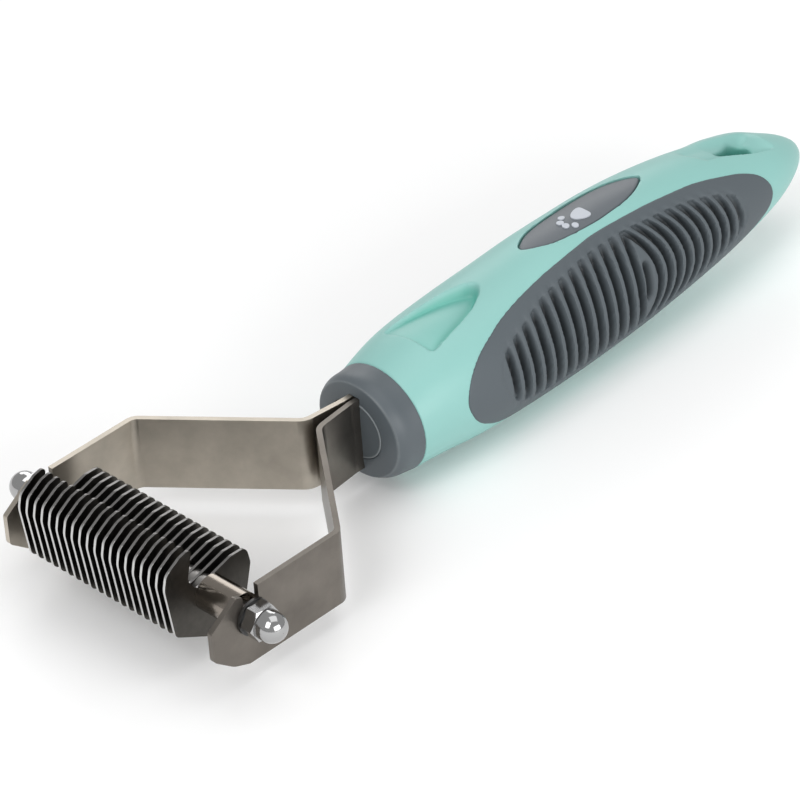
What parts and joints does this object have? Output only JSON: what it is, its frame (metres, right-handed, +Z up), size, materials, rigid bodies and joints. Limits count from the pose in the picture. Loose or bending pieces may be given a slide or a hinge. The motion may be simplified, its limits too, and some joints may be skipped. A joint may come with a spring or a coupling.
{
  "type": "deshedding tool",
  "caption": "Hand-held stripping rake: ergonomic handle with side grips, two bent strip arms and a clamped pack of thin hooked blades on an axle.",
  "frame": {"origin": "middle of the underside of the bounding box, below the tool at rest pose", "axes": "+X from the handle towards the blades, +Y towards the left arm, +Z up, away from the handle's underside"},
  "size_m": [0.2031, 0.0776, 0.0332],
  "materials": {
    "mint_plastic": "satin moulded plastic",
    "grip_rubber": "matte moulded rubber",
    "collar_rubber": "matte moulded rubber",
    "badge_plastic": "satin",
    "emblem_plastic": "satin",
    "arm_steel": "rolled strip, lightly mottled",
    "blade_steel": "ground edges, dark faces",
    "rod_steel": "threaded rod",
    "sleeve_steel": "polished tube",
    "spacer_steel": "plain",
    "washer_steel": "dark",
    "nut_chrome": "polished"
  },
  "bodies": {
    "frame": {"handle_body": "mint_plastic", "grip_pad_left": "grip_rubber", "grip_pad_right": "grip_rubber", "front_collar": "collar_rubber", "tang_insert": "collar_rubber", "badge_plate": "badge_plastic", "badge_emblem": "emblem_plastic", "left_arm": "arm_steel", "right_arm": "arm_steel"},
    "axle": {"axle_rod": "rod_steel"},
    "blade_pack": {"blade_01": "blade_steel", "blade_02": "blade_steel", "blade_03": "blade_steel", "blade_04": "blade_steel", "blade_05": "blade_steel", "blade_06": "blade_steel", "blade_07": "blade_steel", "blade_08": "blade_steel", "blade_09": "blade_steel", "blade_10": "blade_steel", "blade_11": "blade_steel", "blade_12": "blade_steel", "blade_13": "blade_steel", "blade_14": "blade_steel", "blade_15": "blade_steel", "blade_16": "blade_steel", "blade_17": "blade_steel", "blade_18": "blade_steel", "blade_19": "blade_steel", "blade_20": "blade_steel", "blade_spacers": "spacer_steel", "sleeve_left": "sleeve_steel", "sleeve_right": "sleeve_steel"},
    "washer_left_body": {"washer_left": "washer_steel"},
    "washer_right_body": {"washer_right": "washer_steel"},
    "nut_left_body": {"acorn_nut_left": "nut_chrome"},
    "nut_right_body": {"acorn_nut_right": "nut_chrome"}
  },
  "joints": [
    {"name": "axle_lift", "type": "slide", "parent": "frame", "child": "axle", "axis": [0, 0, 1], "range_m": [0, 0.025]},
    {"name": "pack_swivel", "type": "hinge", "parent": "axle", "child": "blade_pack", "pos_m": [0.0904, 0, 0.01674], "axis": [0, 1, 0], "continuous": true},
    {"name": "washer_left_slide", "type": "slide", "parent": "axle", "child": "washer_left_body", "axis": [0, 1, 0], "range_m": [0, 0.0014]},
    {"name": "washer_right_slide", "type": "slide", "parent": "axle", "child": "washer_right_body", "axis": [0, -1, 0], "range_m": [0, 0.0014]},
    {"name": "nut_left_turn", "type": "hinge", "parent": "washer_left_body", "child": "nut_left_body", "pos_m": [0.0904, 0.034, 0.01674], "axis": [0, 1, 0], "range_deg": [0, 720]},
    {"name": "nut_right_turn", "type": "hinge", "parent": "washer_right_body", "child": "nut_right_body", "pos_m": [0.0904, -0.034, 0.01674], "axis": [0, -1, 0], "range_deg": [0, 720]}
  ],
  "couplings": [
    {"joint": "washer_left_slide", "follows": "nut_left_turn", "m_per_rad": 0.00011141},
    {"joint": "washer_right_slide", "follows": "nut_right_turn", "m_per_rad": 0.00011141}
  ]
}
